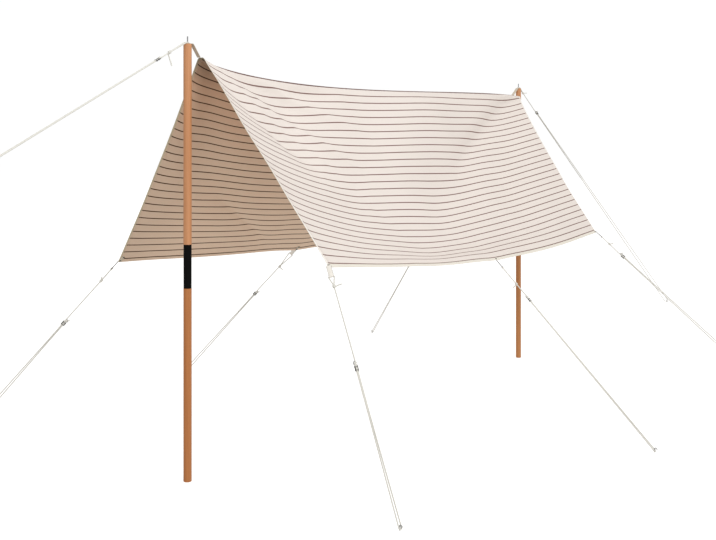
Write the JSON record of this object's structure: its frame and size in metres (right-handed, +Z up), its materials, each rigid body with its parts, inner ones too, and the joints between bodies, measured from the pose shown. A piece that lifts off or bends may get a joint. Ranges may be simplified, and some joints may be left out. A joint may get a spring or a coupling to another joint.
{
  "type": "ridge-pole shade sail",
  "caption": "Striped canvas shade sail hung as a ridge over two jointed wooden poles, with webbing tabs, guy ropes, sliding rope tensioners and ground pegs.",
  "frame": {"origin": "centre of the near pole's foot, on the ground", "axes": "+Z up; +X along the ridge from the near pole to the far pole; the front panel hangs on the -Y side and the back panel on the +Y side"},
  "size_m": [10.4433, 3.3182, 2.035],
  "materials": {
    "beech": "oiled beech, satin",
    "sleeve_black": "matt black powder coat",
    "steel": "plain steel pin",
    "peg_steel": "galvanised wire",
    "canvas": "woven cotton canvas, cream with thin brown-red stripes",
    "webbing": "cotton webbing",
    "rope": "off-white braided cord",
    "slider_metal": "dark anodised aluminium"
  },
  "bodies": {
    "frame": {"near_pole_lower": "beech", "near_pole_upper": "beech", "near_pole_sleeve": "sleeve_black", "near_pole_pin": "steel", "far_pole_lower": "beech", "far_pole_upper": "beech", "far_pole_sleeve": "sleeve_black", "far_pole_pin": "steel", "canopy": "canvas", "near_ridge_strap": "webbing", "far_ridge_strap": "webbing", "near_pole_rope": "rope", "near_pole_peg": "peg_steel", "far_pole_rope": "rope", "far_pole_peg": "peg_steel", "front_near_rope": "rope", "front_near_peg": "peg_steel", "front_near_tab": "webbing", "front_middle_rope": "rope", "front_middle_peg": "peg_steel", "front_middle_tab": "webbing", "front_far_rope": "rope", "front_far_peg": "peg_steel", "front_far_tab": "webbing", "back_near_rope": "rope", "back_near_peg": "peg_steel", "back_near_tab": "webbing", "back_middle_rope": "rope", "back_middle_peg": "peg_steel", "back_middle_tab": "webbing", "back_far_rope": "rope", "back_far_peg": "peg_steel", "back_far_tab": "webbing"},
    "near_pole_slider": {"near_pole_slider": "slider_metal"},
    "far_pole_slider": {"far_pole_slider": "slider_metal"},
    "front_near_slider": {"front_near_slider": "slider_metal"},
    "front_middle_slider": {"front_middle_slider": "slider_metal"},
    "front_far_slider": {"front_far_slider": "slider_metal"},
    "back_near_slider": {"back_near_slider": "slider_metal"},
    "back_middle_slider": {"back_middle_slider": "slider_metal"},
    "back_far_slider": {"back_far_slider": "slider_metal"}
  },
  "joints": [
    {"name": "near_pole_slide", "type": "slide", "parent": "frame", "child": "near_pole_slider", "axis": [-0.8765, 0, -0.4814], "range_m": [0, 0.12]},
    {"name": "far_pole_slide", "type": "slide", "parent": "frame", "child": "far_pole_slider", "axis": [0.8614, 0, -0.508], "range_m": [0, 0.12]},
    {"name": "front_near_slide", "type": "slide", "parent": "frame", "child": "front_near_slider", "axis": [-0.026, -0.3525, -0.9355], "range_m": [0, 0.12]},
    {"name": "front_middle_slide", "type": "slide", "parent": "frame", "child": "front_middle_slider", "axis": [-0.0103, -0.7054, -0.7088], "range_m": [0, 0.12]},
    {"name": "front_far_slide", "type": "slide", "parent": "frame", "child": "front_far_slider", "axis": [0.2536, -0.688, -0.6799], "range_m": [0, 0.12]},
    {"name": "back_near_slide", "type": "slide", "parent": "frame", "child": "back_near_slider", "axis": [-0.246, 0.644, -0.7244], "range_m": [0, 0.12]},
    {"name": "back_middle_slide", "type": "slide", "parent": "frame", "child": "back_middle_slider", "axis": [-0.0306, 0.7299, -0.6829], "range_m": [0, 0.12]},
    {"name": "back_far_slide", "type": "slide", "parent": "frame", "child": "back_far_slider", "axis": [0.2139, 0.6053, -0.7667], "range_m": [0, 0.12]}
  ]
}
